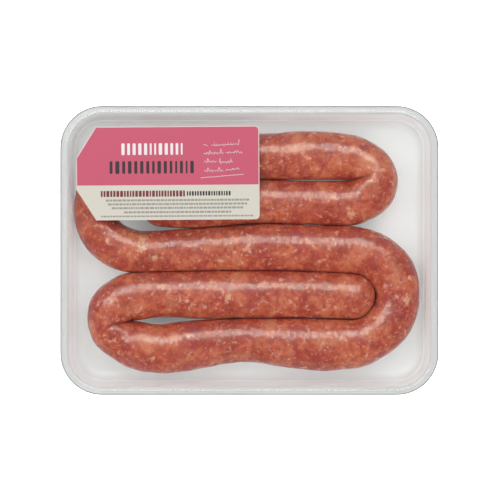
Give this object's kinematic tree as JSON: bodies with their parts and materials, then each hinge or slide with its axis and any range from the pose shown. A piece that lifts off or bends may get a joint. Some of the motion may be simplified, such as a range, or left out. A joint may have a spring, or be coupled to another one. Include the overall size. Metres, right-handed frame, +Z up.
{
  "type": "coiled sausage in a sealed tray",
  "caption": "Long raw sausage folded to and fro in a white plastic tray, sealed with clear film and marked with a tag-shaped label.",
  "frame": {"origin": "middle of the tray's foot, on the surface it stands on", "axes": "+X along the tray's long side, +Y towards the long side that the label lies beside, +Z up"},
  "size_m": [0.235, 0.1794, 0.0315],
  "materials": {
    "tray_plastic": "smooth white formed plastic sheet, soft sheen",
    "raw_sausage": "moist raw minced meat in a thin casing, orange-brown with pale fat flecks and dark spice specks",
    "clear_film": "clear stretched lidding film, glossy",
    "label_paper": "coated paper, pink above and cream below, printed bars"
  },
  "bodies": {
    "root": {"tray": "tray_plastic", "sausage": "raw_sausage", "film": "clear_film", "label": "label_paper"}
  },
  "joints": []
}
